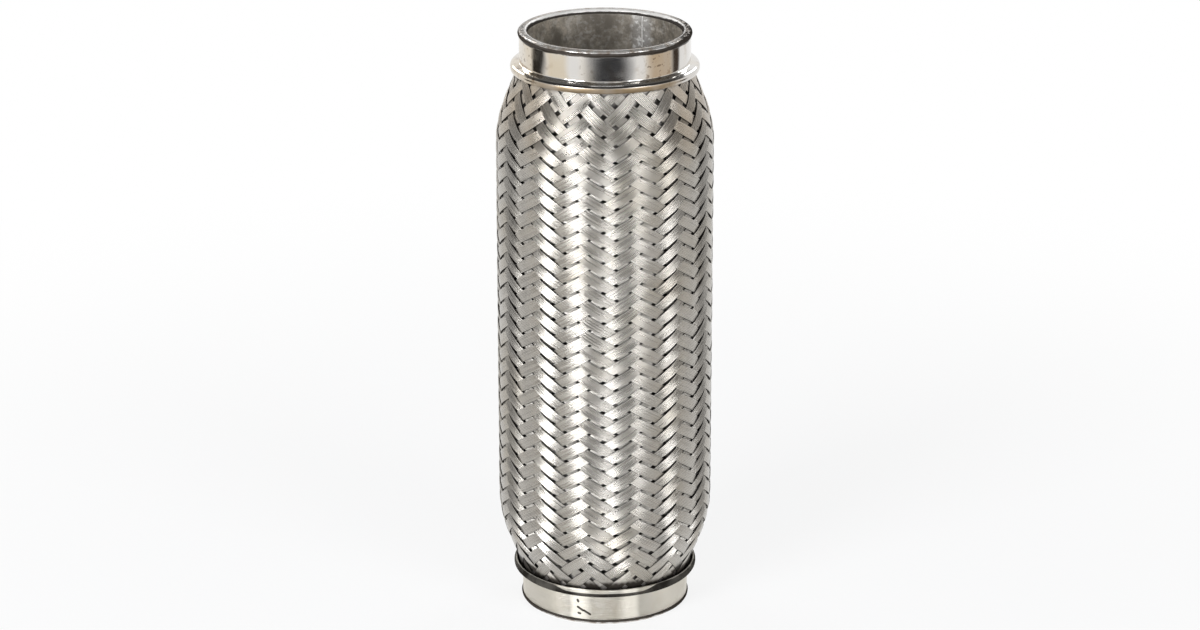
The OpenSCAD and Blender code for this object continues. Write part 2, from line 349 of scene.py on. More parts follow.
class Signal:
    """A node's socket that takes part in Python expressions. Each operator adds one Math node."""

    def __init__(self, sheet, socket):
        self.sheet = sheet
        self.socket = socket

    def math(self, operation, *values):
        return self.sheet.node("ShaderNodeMath", {"operation": operation}, dict(enumerate(values)))

    def __add__(self, other):
        return self.math("ADD", self, other)

    def __radd__(self, other):
        return self.math("ADD", other, self)

    def __sub__(self, other):
        return self.math("SUBTRACT", self, other)

    def __rsub__(self, other):
        return self.math("SUBTRACT", other, self)

    def __mul__(self, other):
        return self.math("MULTIPLY", self, other)

    def __rmul__(self, other):
        return self.math("MULTIPLY", other, self)

    def __truediv__(self, other):
        return self.math("DIVIDE", self, other)

    def __rtruediv__(self, other):
        return self.math("DIVIDE", other, self)

    def __pow__(self, other):
        return self.math("POWER", self, other)

    def __abs__(self):
        return self.math("ABSOLUTE", self)


class Sheet:
    """Adds nodes to one node tree."""

    def __init__(self, tree):
        self.tree = tree
        tree.nodes.clear()

    def node(self, kind, settings=None, inputs=None, output=0):
        """Adds a node, sets its settings, then its sockets, and gives one of its outputs."""
        made = self.tree.nodes.new(kind)
        for name, value in (settings or {}).items():
            setattr(made, name, value)
        for socket, value in (inputs or {}).items():
            if isinstance(value, Signal):
                self.tree.links.new(value.socket, made.inputs[socket])
            else:
                made.inputs[socket].default_value = value
        return Signal(self, made.outputs[output]) if len(made.outputs) else made

    def place(self):
        """Where a point lies on the object, in metres in the part's own frame."""
        return self.node("ShaderNodeTexCoord", output="Object")

    def axes(self, vector):
        """The three numbers of a vector."""
        return [self.node("ShaderNodeSeparateXYZ", inputs={0: vector}, output=i) for i in range(3)]

    def millimetres(self, place):
        """The three numbers of a place in metres, in millimetres."""
        return [axis / MM for axis in self.axes(place)]

    def attribute(self, name):
        """A number that the mesh holds for each point."""
        return self.node("ShaderNodeAttribute", {"attribute_name": name}, output="Fac")

    def noise(self, vector, scale, detail=3.0, roughness=0.55):
        """Noise from 0 to 1."""
        return self.node("ShaderNodeTexNoise", {"noise_dimensions": "3D"}, {
            "Vector": vector, "Scale": scale, "Detail": detail, "Roughness": roughness})

    def stretched(self, vector, stretch):
        """A vector scaled along each axis."""
        return self.node("ShaderNodeVectorMath", {"operation": "MULTIPLY"}, {0: vector, 1: stretch})

    def step(self, value, low, high, to_low=0.0, to_high=1.0):
        """Goes smoothly from to_low to to_high as the value goes from low to high."""
        return self.node("ShaderNodeMapRange", {"interpolation_type": "SMOOTHSTEP"}, {
            "Value": value, "From Min": low, "From Max": high, "To Min": to_low, "To Max": to_high})

    def aside(self, value, near, far, to_near=0.0, to_far=1.0):
        """Goes from to_near to to_far as the value's distance from 0 goes from near to far, either way."""
        return self.step(value * value, near ** 2, far ** 2, to_near, to_far)

    def clamp(self, value):
        """A number kept from 0 to 1."""
        return self.node("ShaderNodeClamp", inputs={0: value})

    def mix(self, factor, first, second):
        """A colour between two others."""
        colours = [c if isinstance(c, Signal) else (*tuple(c)[:3], 1.0) for c in (first, second)]
        return self.node("ShaderNodeMix", {"data_type": "RGBA"}, {
            0: factor, 6: colours[0], 7: colours[1]}, output=2)

    def bump(self, height, strength, distance):
        """A normal bent by a height."""
        return self.node("ShaderNodeBump", inputs={
            "Height": height, "Strength": strength, "Distance": distance}, output="Normal")


def shaded(colour, *shares):
    """A colour whose red, green and blue are scaled by three shares, or all by one."""
    return tuple(min(1.0, c * share) for c, share in zip(colour, shares * (3 // len(shares))))


def steel(name, paint):
    """A metal material. paint(sheet, place) gives the values of its shader's sockets."""
    material = bpy.data.materials.new(name)
    material.use_nodes = True
    sheet = Sheet(material.node_tree)
    values = {"Metallic": 1.0, **paint(sheet, sheet.place())}
    shader = sheet.node("ShaderNodeBsdfPrincipled", inputs=values)
    sheet.node("ShaderNodeOutputMaterial", inputs={"Surface": shader})
    return material


def wire_finish(finish):
    """Drawn wire: bright and browner in places, heat-tinted below the upper cap with painted shade in the
    middle across, and painted shade in the gaps, on the bundles' sides and backs and beside the lips.
    """
    brown = shaded(finish.wire, 0.82, 0.77, 0.66)
    dull = shaded(finish.wire, 0.72)
    grey = shaded(finish.wire, 0.58, 0.56, 0.53)
    straw = shaded(finish.wire, 0.92, 0.80, 0.66)

    def paint(sheet, place):
        x, _, z = sheet.millimetres(place)
        below_cap = (PIPE_LENGTH - CAP_TOP) / MM - z
        patches = sheet.noise(place, scale=45.0, detail=4.0)
        tone = sheet.attribute("tone")
        crevice = sheet.attribute("crevice")
        # Heat tint below the upper cap: straw at the sides, and grey in the middle across as painted shade
        # that dims the swell's highlight
        heat_tint_and_painted_light = sheet.step(below_cap, *WIRE_TINT_AND_SHADE_BELOW_CAP) * sheet.step(patches, 0.35, 0.65, 0.3, 0.75)
        colour = sheet.mix(sheet.step(patches, 0.45, 0.75, 0.0, 0.5), finish.wire, brown)
        colour = sheet.mix(sheet.step(tone, 0.55, 0.0, 0.0, 0.6), colour, dull)
        colour = sheet.mix(heat_tint_and_painted_light, colour, sheet.mix(sheet.aside(x, *STRAW_SIDES), grey, straw))
        # Painted shade: the gaps, the bundles' sides and backs, where they dip and beside the lips go near
        # black and rougher
        colour = sheet.mix(sheet.step(crevice, 0.2, 0.9, 0.0, 0.97), colour, finish.blackening)
        return {"Base Color": colour, "Roughness": 0.17 + 0.14 * tone + 0.06 * patches + 0.25 * crevice}

    return steel("drawn_wire", paint)


def polished_finish(finish):
    """Polished pressed sheet: dark beside the weld, smudged on the collar, straw tint on the lip that fades
    to the sides as a painted highlight, and painted shade in the crease.
    """
    cream = shaded(finish.polished, 0.95, 0.86, 0.72)

    def paint(sheet, place):
        x, _, z = sheet.millimetres(place)
        below_rim = PIPE_LENGTH / MM - z
        smudge = sheet.noise(place, scale=110.0, detail=4.0)
        waves = sheet.noise(place, scale=70.0, detail=1.0)
        clouds = sheet.noise(sheet.stretched(place, (1.0, 1.0, 0.35)), scale=55.0)
        lines = sheet.noise(sheet.stretched(place, (60.0, 60.0, 5200.0)), scale=1.0, detail=2.0)
        blots = sheet.step(sheet.noise(place, scale=230.0), 0.55, 0.68) * sheet.step(clouds, 0.42, 0.55)
        dots = sheet.noise(place, scale=700.0, detail=1.0)
        specks = sheet.step(dots, 0.62, 0.70) * sheet.step(clouds, 0.45, 0.6)
        # The lip's heat tint fades towards the left and right of the view, a painted highlight where the
        # lip's sides shine pale
        front = sheet.aside(x, *TINT_FRONT, 0.15, 1.0)
        tint = sheet.step(below_rim, *TINT_BELOW_RIM) * sheet.step(smudge, 0.2, 0.6, 0.7, 1.0) * front
        # A dark band on the collar just below the rim weld
        blackening = sheet.step(below_rim + 1.6 * smudge, *DARK_BAND_BELOW_RIM)
        blackening = blackening * sheet.step(smudge, 0.2, 0.4, 0.8, 0.99)
        # Painted shade along the crease between collar and lip, in the middle of the view only
        crease = sheet.step(below_rim, *CREASE_TOP_BELOW_RIM)
        crease = crease * sheet.step(below_rim + 0.5 * smudge, *CREASE_FOOT_BELOW_RIM)
        colour = sheet.mix(sheet.step(clouds, 0.42, 0.68, 0.0, 0.9), finish.polished, cream)
        colour = sheet.mix(0.55 * blots, colour, finish.stain)
        colour = sheet.mix(0.7 * specks, colour, finish.speck)
        colour = sheet.mix(tint, colour, finish.tint)
        colour = sheet.mix(blackening, colour, finish.blackening)
        colour = sheet.mix(0.8 * crease * front, colour, finish.blackening)
        return {
            "Base Color": colour,
            "Roughness": 0.04 + 0.03 * lines + 0.08 * smudge + 0.38 * tint + 0.25 * blackening,
            "Normal": sheet.bump(waves, 0.4, 1.5 * MM),
        }

    return steel("polished_sheet", paint)


def stroke(sheet, x, z, start, end, ragged):
    """1 on a short stroke between two points of a flat view, 0 away from it, with ragged edges."""
    run = (end[0] - start[0], end[1] - start[1])
    length = run[0] ** 2 + run[1] ** 2
    share = sheet.clamp(((x - start[0]) * run[0] + (z - start[1]) * run[1]) / length)
    across = x - start[0] - share * run[0]
    up = z - start[1] - share * run[1]
    return sheet.step(across * across + up * up + ragged, SCUFF_REACH ** 2, 0.3 * SCUFF_REACH ** 2)


def satin_finish(finish):
    """Satin pressed sheet with turning lines, painted highlights at the sides and in two bands, a few scuffs
    and a skirt painted black as shade.
    """
    dull = shaded(finish.satin, 0.84, 0.80, 0.73)
    bright = shaded(finish.satin, 1.8)
    black = shaded(finish.blackening, 0.3)

    def paint(sheet, place):
        x, y, z = sheet.millimetres(place)
        lines = sheet.noise(sheet.stretched(place, (60.0, 60.0, 14000.0)), scale=1.0, detail=1.0)
        smudge = sheet.noise(place, scale=140.0, detail=4.0)
        ragged = 0.12 * (sheet.noise(place, scale=1800.0, detail=2.0) - 0.5)
        from_highlight_band = x * x + 40.0 * (smudge - 0.5) - HIGHLIGHT_BAND_MIDDLE ** 2
        highlight_bands = sheet.aside(from_highlight_band, 2 * HIGHLIGHT_BAND_MIDDLE * HIGHLIGHT_BAND_REACH, 0.0)
        facing = sheet.step(y, *COLLAR_FRONT)
        # The skirt's underside is painted black and without shine as shade, reaching higher at the sides
        skirt_end = SKIRT_END + SKIRT_SIDE_RISE * sheet.aside(x, *SKIRT_SIDES)
        skirt = sheet.step(z + 0.4 * smudge, *SKIRT_ABOVE_FOOT)
        skirt = skirt * sheet.step(z + 0.3 * smudge - skirt_end, 0.12, -0.12)
        colour = sheet.mix(sheet.step(smudge, 0.35, 0.75, 0.0, 0.8), finish.satin, dull)
        # Painted highlight: lighter towards the left and right of the view, and in two vertical bands
        colour = sheet.mix(0.65 * sheet.aside(x, *BRIGHT_SIDES), colour, bright)
        colour = sheet.mix(0.9 * highlight_bands, colour, bright)
        for start, end in SCUFFS:
            scuff = facing * stroke(sheet, x, z, start, end, ragged)
            colour = sheet.mix(0.95 * scuff, colour, finish.blackening)
        colour = sheet.mix(skirt * sheet.step(smudge, 0.35, 0.65, 0.99, 0.9), colour, black)
        return {
            "Base Color": colour,
            "Metallic": 1 - skirt,
            "Specular IOR Level": 0.0,
            "Roughness": 0.34 + 0.10 * lines + 0.10 * smudge + 0.4 * skirt,
            "Normal": sheet.bump(lines + 0.5 * smudge, 0.5, 0.3 * MM),
        }

    return steel("satin_sheet", paint)


def sleeve_finish(finish):
    """Matt strip with rolling streaks and stains; beside its seam a heat tint painted bright as a highlight,
    with spatter; painted shade in the middle across.
    """
    dark = shaded(finish.sleeve, 0.5)
    pale = shaded(finish.sleeve, 1.3)
    dark_middle = shaded(finish.sleeve, 0.4)

    def paint(sheet, place):
        x, y, _ = sheet.millimetres(place)
        stains = sheet.noise(place, scale=120.0, detail=5.0, roughness=0.7)
        grain = sheet.noise(place, scale=1500.0, detail=2.0)
        drops = sheet.noise(place, scale=600.0, detail=2.0)
        streaks = sheet.noise(sheet.stretched(place, (900.0, 900.0, 60.0)), scale=1.0)
        from_seam = y * math.cos(SEAM_ANGLE) - x * math.sin(SEAM_ANGLE) + 4.0 * (stains - 0.5)
        # Beside the seam at the back: heat tint painted bright, a painted highlight where the wall catches a
        # lamp
        heat_tint_and_painted_light = sheet.aside(from_seam, *SEAM_TINT_AND_HIGHLIGHT) * sheet.step(y, *SLEEVE_BACK)
        spatter = sheet.step(drops, 0.54, 0.60) * sheet.step(stains, 0.38, 0.50) * (0.25 + 0.75 * heat_tint_and_painted_light)
        colour = sheet.mix(sheet.step(stains, 0.36, 0.66), dark, pale)
        colour = sheet.mix(sheet.step(grain, 0.3, 0.7, 0.45, 0.0), colour, dark)
        colour = sheet.mix(heat_tint_and_painted_light * sheet.step(stains, 0.35, 0.6, 0.35, 1.0), colour, finish.polished)
        colour = sheet.mix(spatter, colour, finish.spatter)
        # Painted shade: darker in the middle across the view, but not beside the seam
        colour = sheet.mix(sheet.aside(x, *DARK_MIDDLE, 0.0, 0.4) * (1 - heat_tint_and_painted_light), colour, dark_middle)
        return {
            "Base Color": colour,
            "Metallic": 0.7 - 0.7 * spatter,
            "Roughness": 0.28 + 0.10 * streaks + 0.14 * stains,
            "Normal": sheet.bump(stains + 0.3 * streaks + 0.2 * grain, 0.3, 0.5 * MM),
        }

    return steel("matt_strip", paint)


def seam_finish(finish):
    """Pale bead without the shine of metal; its pale colour also paints the seam's highlight."""

    def paint(sheet, place):
        return {"Base Color": (*finish.seam, 1.0), "Metallic": 0.0, "Roughness": 0.4}

    return steel("seam_bead", paint)


def weld_finish(finish):
    """Round bead: its inside painted pale as a reflection, and dark as shade on its crest in front; painted
    shade at its sides; dark at its toes.
    """
    brown = shaded(finish.polished, 0.62, 0.54, 0.46)
    painted_reflection = shaded(finish.polished, 1.35)
    dark = shaded(finish.sleeve, 0.3)

    def paint(sheet, place):
        x, y, z = sheet.millimetres(place)
        middle = HALF_LENGTH / MM
        from_end = middle - abs(z - middle)
        from_axis = (x * x + y * y) ** 0.5
        patches = sheet.noise(place, scale=420.0)
        front = sheet.step(y, *BEAD_FRONT)
        # Inside half: painted pale as a reflection at the back, and painted dark as shade in front
        inner = sheet.step(from_axis + 0.5 * patches - 0.5 * front, *BEAD_INSIDE)
        # Painted shade towards the left and right of the view, more on the right
        side = sheet.aside(x, *PAINTED_SHADE_SIDES) * sheet.step(x, *LEFT_TO_RIGHT, 0.7, 1.0)
        grain = 0.5 * (patches + sheet.noise(place, scale=1300.0, detail=1.0))
        grain = grain - sheet.step(x, *LEFT_TO_RIGHT, 0.0, 0.03)
        painted_side_shade = side * sheet.step(grain, 0.54, 0.46, 0.1, 1.0) * (1 - inner)
        toes = 0.98 * sheet.step(from_end + 0.6 * patches + 0.6 * side, *TOES_FROM_END)
        colour = sheet.mix(sheet.step(patches, 0.35, 0.7), finish.polished, brown)
        colour = sheet.mix(0.95 * inner, colour, sheet.mix(front, painted_reflection, dark))
        colour = sheet.mix(painted_side_shade, colour, finish.blackening)
        colour = sheet.mix(toes, colour, finish.blackening)
        return {
            "Base Color": colour,
            "Metallic": (0.8 - 0.3 * inner) * (1 - painted_side_shade) * (1 - toes) * (1 - inner * front),
            "Specular IOR Level": 0.0,
            "Roughness": 0.15 + 0.14 * patches + 0.2 * toes + 0.25 * inner,
            "Normal": sheet.bump(patches, 0.2, 0.4 * MM),
        }

    return steel("weld_bead", paint)


def plain_finish(name, colour, roughness):
    """Sheet steel with cloudy stains."""

    def paint(sheet, place):
        stains = sheet.noise(place, scale=120.0, detail=4.0)
        shade = sheet.mix(sheet.step(stains, 0.3, 0.75), shaded(colour, 0.75), colour)
        return {"Base Color": shade, "Roughness": roughness + 0.15 * stains}

    return steel(name, paint)


class BraidForm:
    """The swelling surface that the woven bundles follow, and how they steepen where it narrows."""

    SAMPLES = 4001
    EASE = 35

    def __init__(self, weave):
        tail = HALF_LENGTH - WELD_HEIGHT
        self.height = np.linspace(-tail, tail, self.SAMPLES)
        above_foot = HALF_LENGTH - np.abs(self.height)
        swell = np.clip((above_foot - CAP_TOP - weave.swell_lead) / weave.swell_length, 0, 1)
        swell = np.sin(np.pi / 2 * swell)
        flare = np.clip((above_foot - weave.flare_low) / (weave.flare_top - weave.flare_low), 0, 1)
        neck = weave.tail_radius + (weave.neck_radius - weave.tail_radius) * flare
        neck_wall = weave.tail_wall + (weave.neck_wall - weave.tail_wall) * flare
        wall = neck_wall + (weave.full_wall - weave.neck_wall) * swell
        bundles = 2 * weave.lift + weave.wire_height + weave.backing
        self.radius = self.eased(neck + (BRAID_RADIUS - weave.neck_radius) * swell)
        self.share = np.clip(wall / bundles, 0, 1)
        column_width = 2 * np.pi * self.radius / weave.columns
        bundle_length = 2 * np.pi * BRAID_RADIUS / weave.columns / math.cos(weave.slope)
        rise = np.sqrt(bundle_length ** 2 - column_width ** 2)
        steps = np.diff(self.height) * 2 / (rise[1:] + rise[:-1])
        turns = np.concatenate([[0], np.cumsum(steps)])
        self.turns = turns - turns[self.SAMPLES // 2]

    def eased(self, radius):
        """The radius with its corners rounded over a few millimetres."""
        padded = np.pad(radius, self.EASE, mode="edge")
        return np.convolve(padded, np.ones(2 * self.EASE + 1) / (2 * self.EASE + 1), mode="valid")

    def at(self, turns):
        """Height, outer radius and share of the full depth where a bundle has risen by so many columns."""
        height = np.interp(turns, self.turns, self.height)
        return (
            height,
            np.interp(height, self.height, self.radius),
            np.interp(height, self.height, self.share),
        )

    def snugness(self, weave, turns):
        """Share of its full width that a bundle keeps beside the caps."""
        from_cap = HALF_LENGTH - CAP_TOP - np.abs(self.at(turns)[0])
        return 1 - weave.loosening * np.clip(1 - from_cap / weave.swell_length, 0, 1)


def bundle_profile(weave):
    """Across one bundle: place from -0.5 to 0.5 of the spacing, and height above the bundle's middle.

    Each wire's back is an arc of four flats, and the last two points are the bundle's own back."""
    back_half = 0.47
    turn = np.array([-WIRE_STEEPEST, -WIRE_KNEE, 0.0, WIRE_KNEE])
    place = np.sin(turn) / math.sin(WIRE_STEEPEST) / 2 + 0.5
    sink = (1 - np.cos(turn)) / (1 - math.cos(WIRE_STEEPEST))
    places = (np.arange(weave.wires)[:, None] + place[None, :]).ravel()
    across = np.append(places / weave.wires, 1.0) - 0.5
    sinks = np.append(np.tile(sink, weave.wires), 1.0)
    rise = weave.wire_height - weave.wire_valley * sinks - weave.crown * (2 * across) ** 2
    across = np.append(across, [back_half, -back_half]) * weave.cover
    rise = np.append(rise, [-weave.backing, -weave.backing])
    return across, rise


def drifting(rng, sections, count, stride):
    """Random numbers from 0 to 1 that change slowly along a bundle, for so many wires."""
    knots = rng.uniform(0, 1, (sections // stride + 3, count))
    along = np.arange(sections) / stride
    low = along.astype(int)
    blend = (along - low)[:, None]
    return knots[low] + (knots[low + 1] - knots[low]) * blend * blend * (3 - 2 * blend)


def wire_tones(rng, sections, wires, ring):
    """How bright each wire of a bundle is, from 0 to 1."""
    tones = np.full((sections, ring), 0.5)
    drift = drifting(rng, sections, wires, TONE_STRIDE)
    for place in range(1, WIRE_POINTS):
        tones[:, place:WIRE_POINTS * wires:WIRE_POINTS] = drift
    return tones


def edge_shades(ring):
    """Painted shade of the points across a bundle by themselves: its sides a little, its back fully."""
    shades = np.zeros(ring)
    shades[[0, 1, -4, -3]] = (*EDGE_SHADES, *reversed(EDGE_SHADES))
    shades[-2:] = 1.0
    return shades


def lip_shades(rng, points, strays):
    """Painted shade of a bundle beside the caps' lips, from 0 to 1. It reaches higher at the lower lip."""
    height = points[..., 2]
    reach = LIP_SHADE + LIP_SHADE_CHANCE * rng.uniform(0, 1) ** 2
    beside = np.interp(np.abs(points[..., 0]) / MM, SIDE_SHADE_FROM, (0, 1))
    at_foot = FOOT_SHADE + STRAY_SHADE * strays + SIDE_SHADE * beside
    reach = reach + np.where(height < HALF_LENGTH, at_foot, 0.0)
    above_lip = (HALF_LENGTH - np.abs(height - HALF_LENGTH) - CAP_TOP) / MM
    return np.clip((reach - above_lip) / LIP_SHADE_FADE, 0, 1)


def woven_bundle(weave, form, middle, hand, index, rng):
    """One bundle: its points section by section, and the painted shade and the tone of each of them."""
    across, rise = bundle_profile(weave)
    sections = len(middle)
    sway = drifting(rng, sections, 1, SWAY_STRIDE)
    width = 1 + WIDTH_CHANGE * (drifting(rng, sections, 1, WIDTH_STRIDE) - 0.5)
    along = index + 2 * middle[:, None] - math.cos(2 * weave.slope) * across[None, :]
    crossing = np.pi / 2 * (index + along - 0.5)
    width = width * form.snugness(weave, middle)[:, None]
    width = width * (1 - weave.pinch * np.sin(crossing) ** PINCH_SHARPNESS)
    own = index + weave.sway * (sway - 0.5) + across[None, :] * width
    height, radius, share = form.at((along - own) / 2)
    wave = hand * np.tanh(DIP_SQUARENESS * np.cos(crossing)) / math.tanh(DIP_SQUARENESS)
    tilt = 2 * drifting(rng, sections, 1, ROLL_STRIDE) - 1
    rolled = weave.roll * (2 * across[None, :] * tilt - np.abs(tilt))
    depth = weave.wire_height + weave.lift - weave.lift * wave - rise[None, :] - rolled
    shell = radius - share * depth
    angle = weave.phase + 2 * np.pi / weave.columns * ((along + own) / 2 + COLUMN_START)
    points = np.stack([shell * np.cos(angle), shell * np.sin(angle), HALF_LENGTH + hand * height], -1)
    dip = np.interp(-wave, DIP_DEPTHS, DIP_SHADES)
    lip = lip_shades(rng, points, sway[:1] > STRAY_LIMIT)
    # Each point's painted shade is the strongest of its edge, dip and lip shade
    crevice = np.maximum(np.maximum(edge_shades(len(across)), dip), lip)
    tone = wire_tones(rng, sections, weave.wires, len(across))
    return points, crevice, tone


def tube_faces(grid, turned=False):
    """Faces of a closed tube whose rings are the rows of a grid of points, turned over where asked."""
    near, far = grid[:-1], grid[1:]
    sides = np.stack([near, np.roll(near, -1, 1), np.roll(far, -1, 1), far], -1).reshape(-1, 4)
    faces = [*sides.tolist(), grid[0][::-1].tolist(), grid[-1].tolist()]
    return [face[::-1] for face in faces] if turned else faces


def weave_bundles(weave, hand, strands):
    """Points, faces and shades of some of the bundles that climb to the right (hand 1) or left (-1)."""
    form = BraidForm(weave)
    rng = np.random.default_rng(7 + hand)
    reach = form.turns[-1] - TAIL_GAP
    middle = np.linspace(-reach, reach, int(2 * reach * SECTIONS_PER_COLUMN) + 1)
    points = []
    faces = []
    painted_shades = []
    tones = []
    for index in strands:
        strand, crevice, tone = woven_bundle(weave, form, middle, hand, index, rng)
        grid = crevice.size * len(points) + np.arange(crevice.size).reshape(crevice.shape)
        faces.extend(tube_faces(grid, turned=hand > 0))
        points.append(strand.reshape(-1, 3))
        painted_shades.append(crevice.ravel())
        tones.append(tone.ravel())
    shades = {"crevice": np.concatenate(painted_shades), "tone": np.concatenate(tones)}
    return np.concatenate(points), faces, shades


def mark_wires(mesh, weave, shades):
    """Keeps the wires of a bundle round beside each other, and stores each point's painted shade and tone.
    """
    ring = len(bundle_profile(weave)[0])
    ends = np.empty(2 * len(mesh.edges), np.int32)
    mesh.edges.foreach_get("vertices", ends)
    places = ends.reshape(-1, 2) % ring
    valley = (places[:, 0] % WIRE_POINTS == 0) | (places[:, 0] > WIRE_POINTS * weave.wires)
    sharp = mesh.attributes.new("sharp_edge", "BOOLEAN", "EDGE")
    sharp.data.foreach_set("value", (places[:, 0] == places[:, 1]) & valley)
    for name, values in shades.items():
        shade = mesh.attributes.new(name, "FLOAT", "POINT")
        shade.data.foreach_set("value", values.astype(np.float32))


def mesh_piece(name, points, faces, material):
    """A new smooth mesh object in the scene."""
    mesh = bpy.data.meshes.new(name)
    mesh.from_pydata([tuple(p) for p in points], [], faces)
    mesh.polygons.foreach_set("use_smooth", [True] * len(mesh.polygons))
    mesh.materials.append(material)
    piece = bpy.data.objects.new(name, mesh)
    bpy.context.scene.collection.objects.link(piece)
    return piece


def bend_with_pipe(piece):
    """Bakes the piece's placement into its mesh."""
    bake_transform(piece)


def copied_node(name, node, material):
    """A new piece with a CAD node's own mesh and a new material; the node itself is hidden."""
    mesh = frame["nodes"][node].data.copy()
    mesh.materials.clear()
    mesh.materials.append(material)
    piece = bpy.data.objects.new(name, mesh)
    bpy.context.scene.collection.objects.link(piece)
    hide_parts(node)
    bend_with_pipe(piece)
    return piece


def dress_node(node, material):
    """Gives a CAD node its finish."""
    mesh = frame["nodes"][node].data
    mesh.materials.clear()
    mesh.materials.append(material)


def seam_bead(sleeve):
    """Points and faces of the bead that fills the groove of a sleeve's butt seam."""
    sections = 56
    end_gap = 0.2 * MM
    half_width = 0.22 * MM
    groove_depth = 0.19 * MM
    bead_height = 0.15
    bead_ripple = 0.03
    low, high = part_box(sleeve)
    rng = np.random.default_rng(11)
    heights = np.linspace(low.z + end_gap, high.z - end_gap, sections)
    turn = np.linspace(0, np.pi, 7)
    aside = half_width * np.cos(turn)
    rise = (bead_height + bead_ripple * drifting(rng, sections, 1, 2)) * MM * np.sin(turn)
    shell = BORE_RADIUS + groove_depth - rise
    out = np.array([math.cos(SEAM_ANGLE), math.sin(SEAM_ANGLE)])
    along = np.array([-out[1], out[0]])
    flat = shell[:, :, None] * out + aside[None, :, None] * along
    points = np.concatenate([flat, np.repeat(heights[:, None, None], len(turn), 1)], -1).reshape(-1, 3)
    return points, tube_faces(np.arange(len(points)).reshape(sections, len(turn)))


class FLEXPIPE_OT_braid(bpy.types.Operator):
    """Weaves the wire bundles of the outer braid"""

    bl_idname = "flexpipe.braid"
    bl_label = "Outer braid"

    def execute(self, context):
        weave = context.scene.flexpipe_weave
        material = wire_finish(context.scene.flexpipe_finish)
        for side, hand in (("right", 1), ("left", -1)):
            for first, place in enumerate(("odd", "even")):
                points, faces, shades = weave_bundles(weave, hand, range(first, weave.columns, 2))
                piece = mesh_piece(f"braid_{side}_{place}_bundles", points, faces, material)
                mark_wires(piece.data, weave, shades)
                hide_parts("outer_braid")
                bend_with_pipe(piece)
        return {"FINISHED"}


class FLEXPIPE_OT_bellows(bpy.types.Operator):
    """Makes the bellows under the braid"""

    bl_idname = "flexpipe.bellows"
    bl_label = "Bellows"

    def execute(self, context):
        finish = context.scene.flexpipe_finish
        material = plain_finish("bellows_sheet", finish.bellows, BELLOWS_ROUGHNESS)
        piece = copied_node("bellows_tube", "bellows", material)
        return {"FINISHED"}


class FLEXPIPE_OT_liner(bpy.types.Operator):
    """Makes the liner inside the bellows"""

    bl_idname = "flexpipe.liner"
    bl_label = "Liner"

    def execute(self, context):
        finish = context.scene.flexpipe_finish
        material = plain_finish("liner_strip", finish.liner, LINER_ROUGHNESS)
        piece = copied_node("liner_tube", "interlock_liner", material)
        return {"FINISHED"}


class FLEXPIPE_OT_caps(bpy.types.Operator):
    """Finishes the two end caps"""

    bl_idname = "flexpipe.caps"
    bl_label = "End caps"

    def execute(self, context):
        finish = context.scene.flexpipe_finish
        dress_node("upper_end_cap", polished_finish(finish))
        dress_node("lower_end_cap", satin_finish(finish))
        return {"FINISHED"}


class FLEXPIPE_OT_sleeves(bpy.types.Operator):
    """Finishes the two inner sleeves and fills their seams"""

    bl_idname = "flexpipe.sleeves"
    bl_label = "Inner sleeves"

    def execute(self, context):
        finish = context.scene.flexpipe_finish
        strip = sleeve_finish(finish)
        pale = seam_finish(finish)
        for end, body in (("upper", UPPER), ("lower", LOWER)):
            sleeve = f"{end}_inner_sleeve"
            dress_node(sleeve, strip)
            points, faces = seam_bead(sleeve)
            bead = mesh_piece(f"{end}_seam_bead", points, faces, pale)
            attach(bead, body)
        return {"FINISHED"}


class FLEXPIPE_OT_welds(bpy.types.Operator):
    """Finishes the two rim welds"""

    bl_idname = "flexpipe.welds"
    bl_label = "Rim welds"

    def execute(self, context):
        material = weld_finish(context.scene.flexpipe_finish)
        for node in ("upper_rim_weld", "lower_rim_weld"):
            dress_node(node, material)
        return {"FINISHED"}


def seen_directly(sheet):
    """1 for what the camera, a mirror or glass shows, 0 for the light that a surface gathers."""
    rays = [sheet.node("ShaderNodeLightPath", output=f"Is {kind} Ray")
            for kind in ("Camera", "Glossy", "Transmission")]
    return sheet.clamp(rays[0] + rays[1] + rays[2])


def studio_world(world):
    """A dim room with white walls low down, higher behind the pipe."""
    world.use_nodes = True
    sheet = Sheet(world.node_tree)
    _, y, z = sheet.axes(sheet.node("ShaderNodeTexCoord", output="Generated"))
    wall_top = sheet.step(y, 0.0, 0.8, FRONT_WALL, BACK_WALL)
    seen = sheet.node("ShaderNodeLightPath", output="Is Camera Ray")
    lit = sheet.clamp(sheet.step(z - wall_top, *WALL_FADE) + seen)
    ceiling = sheet.node("ShaderNodeBackground", inputs={"Color": WHITE, "Strength": CEILING_STRENGTH})
    walls = sheet.node("ShaderNodeBackground", inputs={"Color": WHITE, "Strength": 1.0})
    room = sheet.node("ShaderNodeMixShader", inputs={0: lit, 1: ceiling, 2: walls})
    sheet.node("ShaderNodeOutputWorld", inputs={"Surface": room})


def floor_finish(colour):
    """Pale floor that keeps the pipe's shadow and is white farther off."""
    material = bpy.data.materials.new("pale_floor")
    material.use_nodes = True
    sheet = Sheet(material.node_tree)
    x, y, _ = sheet.axes(sheet.place())
    share = sheet.step((x * x + y * y) ** 0.5, *FLOOR_RINGS, *FLOOR_WHITES)
    matt = sheet.node("ShaderNodeBsdfDiffuse", inputs={"Color": (*colour, 1.0)})
    glow = sheet.node("ShaderNodeEmission", inputs={"Color": WHITE, "Strength": 1.0})
    shown = sheet.node("ShaderNodeMixShader", inputs={0: seen_directly(sheet) * share, 1: matt, 2: glow})
    sheet.node("ShaderNodeOutputMaterial", inputs={"Surface": shown})
    return material


